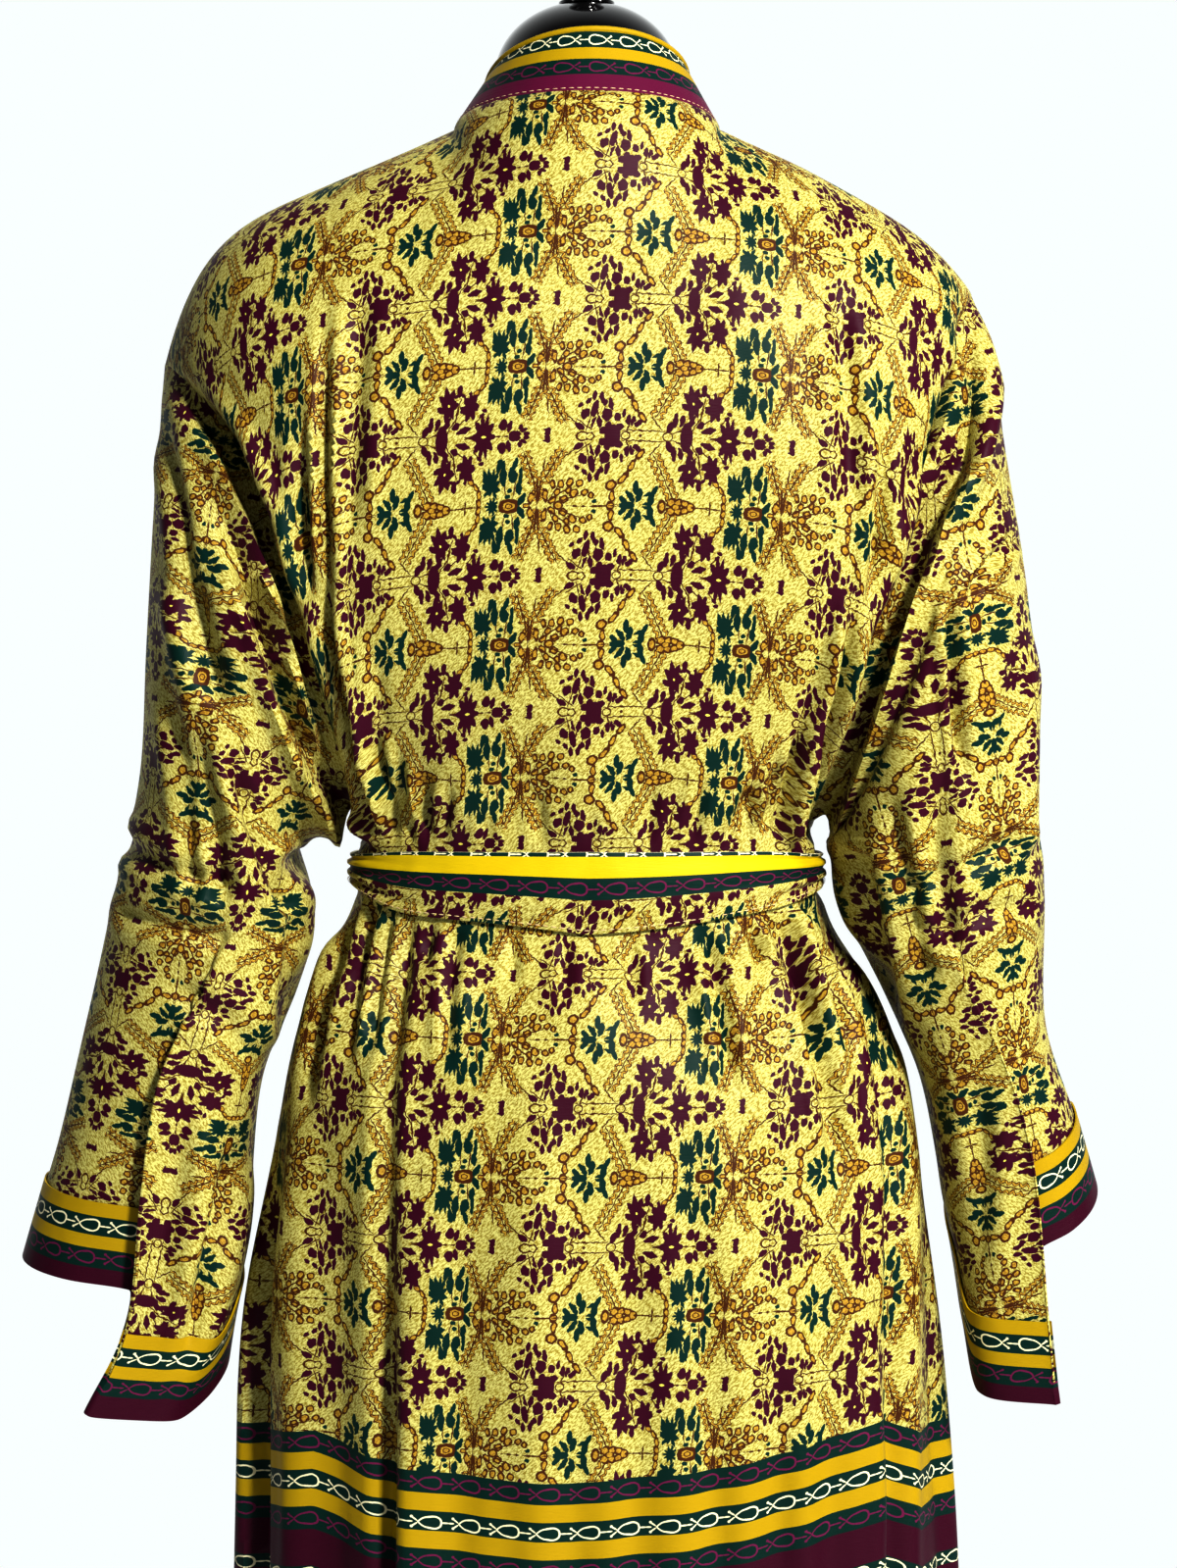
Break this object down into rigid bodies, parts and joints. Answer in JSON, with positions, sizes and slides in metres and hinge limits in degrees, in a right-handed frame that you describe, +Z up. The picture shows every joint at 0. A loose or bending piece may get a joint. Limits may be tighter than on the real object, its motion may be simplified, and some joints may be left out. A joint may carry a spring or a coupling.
{
  "type": "kimono robe on a dress form",
  "caption": "Knee-length kimono robe with wide hanging sleeves, bordered neckband, cuffs and hem and a tied sash, worn by a limbless dress form on a round stand.",
  "frame": {"origin": "on the floor, under the middle of the stand's base", "axes": "+Z up; +Y is the robe's front, where the sash is knotted; +X is the wearer's right"},
  "size_m": [0.5824, 0.35, 1.4783],
  "materials": {
    "print": "printed satin weave",
    "band": "printed satin weave",
    "sash": "printed satin weave",
    "form": "gloss",
    "metal": "semi-gloss"
  },
  "bodies": {
    "root": {"back": "print", "front_left": "print", "front_right": "print", "sleeve_left": "print", "sleeve_right": "print", "neckband": "band", "cuff_left": "band", "cuff_right": "band", "sash": "sash", "sash_tail_left": "sash", "sash_tail_right": "sash", "sash_knot": "sash", "form_torso": "form", "form_knob": "metal", "stand_pole": "metal", "stand_base": "metal"}
  },
  "joints": []
}
